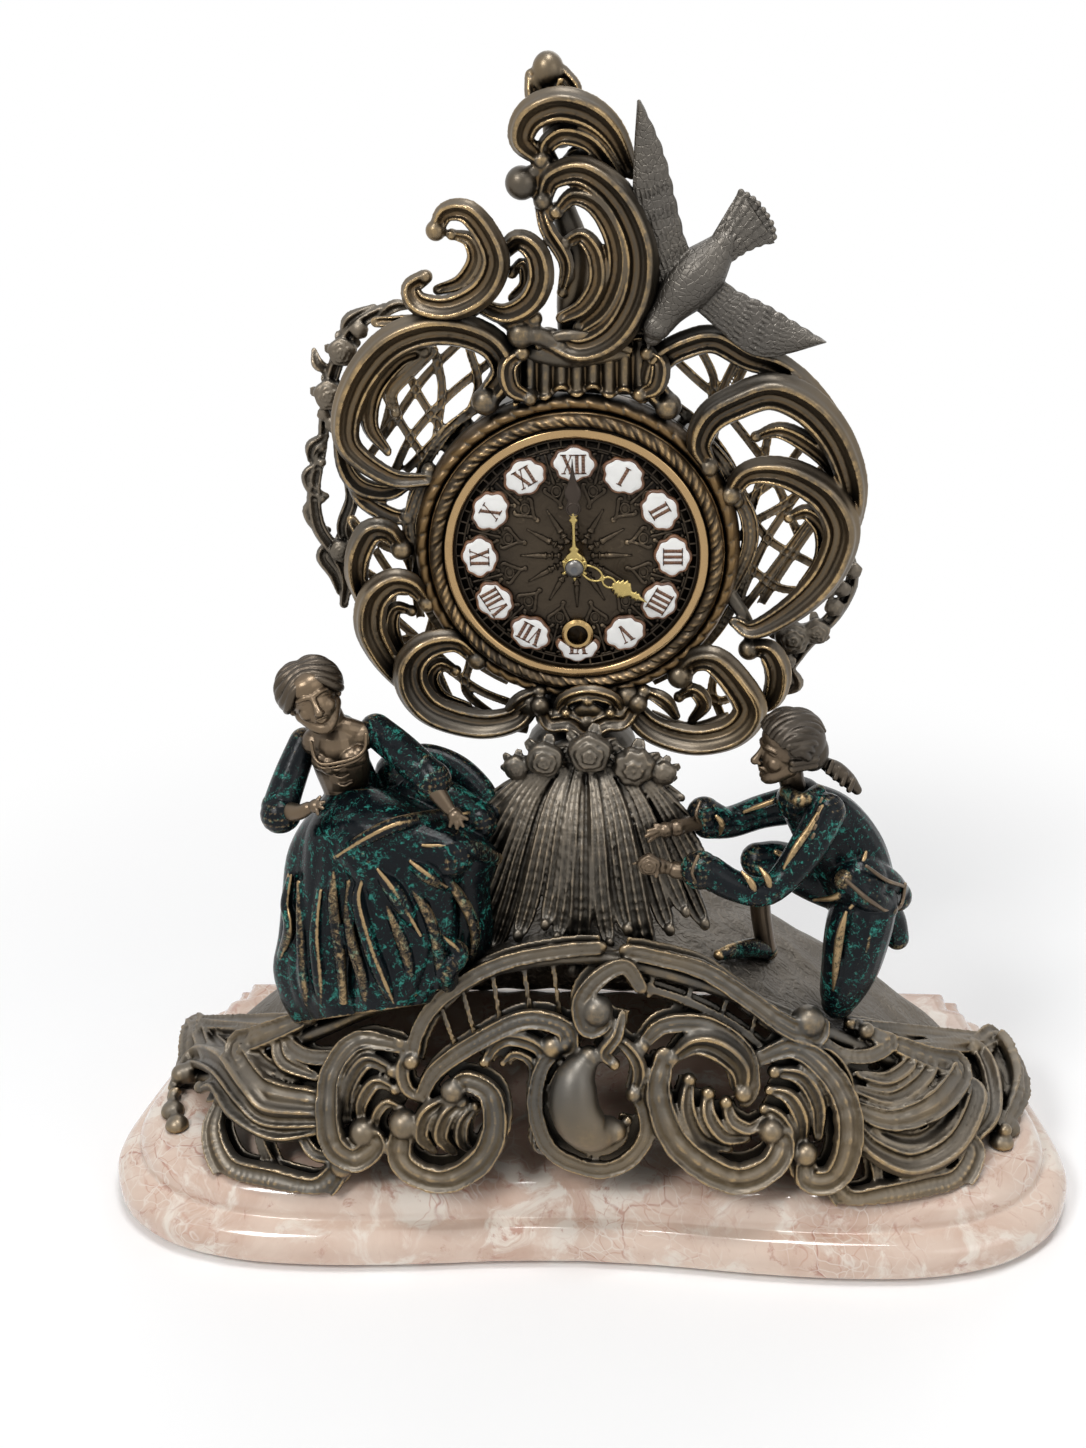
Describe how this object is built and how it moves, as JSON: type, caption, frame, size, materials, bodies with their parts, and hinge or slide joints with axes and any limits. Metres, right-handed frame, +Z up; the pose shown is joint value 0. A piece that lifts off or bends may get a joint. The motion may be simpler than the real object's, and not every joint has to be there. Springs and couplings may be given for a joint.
{
  "type": "brass table clock",
  "caption": "Cast brass table clock: round dial between scrolled wings, on a shell pedestal with two figures and a marble slab; hands and spring movement turn.",
  "frame": {"origin": "middle of the slab's footprint, on the table", "axes": "+X to the clock's right as seen from the front, +Y to the back, +Z up"},
  "size_m": [0.468, 0.1962, 0.524],
  "materials": {
    "marble": "polished pink and cream breccia",
    "felt": "felt",
    "antique_brass": "cast, dark patina with rubbed edges",
    "pewter_bronze": "grey-brown patina",
    "enamelled_bronze": "black lacquer mottled with green",
    "dial_bronze": "dark stippled bronze",
    "porcelain": "glazed",
    "numeral_enamel": "fired brown enamel",
    "polished_brass": "polished",
    "steel": "brushed",
    "blued_steel": "blued"
  },
  "bodies": {
    "clock_case": {"marble_base": "marble", "felt_pads": "felt", "base_casting": "antique_brass", "base_skirt": "antique_brass", "base_studs": "steel", "base_washers": "steel", "base_nuts": "steel", "shell_pedestal": "pewter_bronze", "pedestal_rod": "steel", "pedestal_nut": "steel", "lady_figure": "enamelled_bronze", "gentleman_figure": "enamelled_bronze", "figure_studs": "steel", "case_drum": "pewter_bronze", "left_wing": "antique_brass", "right_wing": "antique_brass", "crest": "antique_brass", "case_mounts": "antique_brass", "rose_garlands": "antique_brass", "dove": "pewter_bronze", "dove_stud": "steel", "bezel_ring": "antique_brass", "dial_plate": "dial_bronze", "numeral_plaques": "porcelain", "roman_numerals": "numeral_enamel", "winding_collar": "polished_brass", "dial_feet": "polished_brass", "front_plate": "polished_brass", "back_plate": "polished_brass", "plate_pillars": "polished_brass", "pillar_screws": "steel", "movement_screws": "steel", "back_cover": "polished_brass", "cover_screws": "steel", "balance_cock": "polished_brass", "cock_screws": "steel", "click_spring": "blued_steel", "click_screw": "steel", "hairspring": "blued_steel"},
    "centre_arbor": {"centre_arbor": "steel", "centre_wheel": "polished_brass", "cannon_pinion": "steel", "minute_hand": "blued_steel", "hand_nut": "steel"},
    "hour_wheel": {"hour_wheel": "polished_brass", "hour_hand": "polished_brass"},
    "minute_wheel": {"minute_wheel": "polished_brass"},
    "barrel": {"barrel": "polished_brass", "barrel_cap": "polished_brass", "mainspring": "blued_steel"},
    "winding_arbor": {"barrel_arbor": "steel", "ratchet_wheel": "steel"},
    "click": {"click": "steel"},
    "intermediate_wheel": {"intermediate_wheel": "polished_brass"},
    "third_wheel": {"third_wheel": "polished_brass"},
    "fourth_wheel": {"fourth_wheel": "polished_brass"},
    "escape_wheel": {"escape_wheel": "polished_brass"},
    "pallet_lever": {"pallet_lever": "steel"},
    "balance_wheel": {"balance_wheel": "polished_brass"},
    "index_lever": {"index_lever": "steel"}
  },
  "joints": [
    {"name": "minute_hand_turn", "type": "hinge", "parent": "clock_case", "child": "centre_arbor", "pos_m": [0, 0.03, 0.316], "axis": [0, 1, 0], "continuous": true},
    {"name": "hour_hand_turn", "type": "hinge", "parent": "clock_case", "child": "hour_wheel", "pos_m": [0, 0.03, 0.316], "axis": [0, 1, 0], "continuous": true},
    {"name": "minute_wheel_turn", "type": "hinge", "parent": "clock_case", "child": "minute_wheel", "pos_m": [0.006, 0.03, 0.32639], "axis": [0, 1, 0], "continuous": true},
    {"name": "barrel_turn", "type": "hinge", "parent": "clock_case", "child": "barrel", "pos_m": [0, 0.03, 0.279], "axis": [0, 1, 0], "continuous": true},
    {"name": "intermediate_wheel_turn", "type": "hinge", "parent": "clock_case", "child": "intermediate_wheel", "pos_m": [-0.00614, 0.03, 0.29908], "axis": [0, 1, 0], "continuous": true},
    {"name": "third_wheel_turn", "type": "hinge", "parent": "clock_case", "child": "third_wheel", "pos_m": [-0.00623, 0.03, 0.33313], "axis": [0, 1, 0], "continuous": true},
    {"name": "fourth_wheel_turn", "type": "hinge", "parent": "clock_case", "child": "fourth_wheel", "pos_m": [0.00655, 0.03, 0.33778], "axis": [0, 1, 0], "continuous": true},
    {"name": "escape_wheel_turn", "type": "hinge", "parent": "clock_case", "child": "escape_wheel", "pos_m": [0.01822, 0.03, 0.3353], "axis": [0, 1, 0], "continuous": true},
    {"name": "winding_turn", "type": "hinge", "parent": "clock_case", "child": "winding_arbor", "pos_m": [0, 0.03, 0.279], "axis": [0, 1, 0], "range_deg": [0, 2340]},
    {"name": "click_lift", "type": "hinge", "parent": "clock_case", "child": "click", "pos_m": [0.0075, 0.03, 0.29199], "axis": [0, 1, 0], "range_deg": [-14, 0]},
    {"name": "pallet_lever_swing", "type": "hinge", "parent": "clock_case", "child": "pallet_lever", "pos_m": [0.02653, 0.03, 0.3305], "axis": [0, 1, 0], "range_deg": [-5, 5]},
    {"name": "balance_swing", "type": "hinge", "parent": "clock_case", "child": "balance_wheel", "pos_m": [0.03153, 0.03, 0.32184], "axis": [0, 1, 0], "range_deg": [-220, 220], "stiffness_Nm_per_rad": 0.0000002},
    {"name": "index_shift", "type": "hinge", "parent": "clock_case", "child": "index_lever", "pos_m": [0.03153, 0.03, 0.32184], "axis": [0, 1, 0], "range_deg": [-20, 20]}
  ],
  "couplings": [
    {"joint": "hour_hand_turn", "follows": "minute_hand_turn", "ratio": 0.083333},
    {"joint": "minute_wheel_turn", "follows": "minute_hand_turn", "ratio": -0.33333},
    {"joint": "intermediate_wheel_turn", "follows": "minute_hand_turn", "ratio": -0.2},
    {"joint": "barrel_turn", "follows": "minute_hand_turn", "ratio": 0.033333},
    {"joint": "third_wheel_turn", "follows": "minute_hand_turn", "ratio": -8},
    {"joint": "fourth_wheel_turn", "follows": "minute_hand_turn", "ratio": 60},
    {"joint": "escape_wheel_turn", "follows": "minute_hand_turn", "ratio": -600}
  ]
}
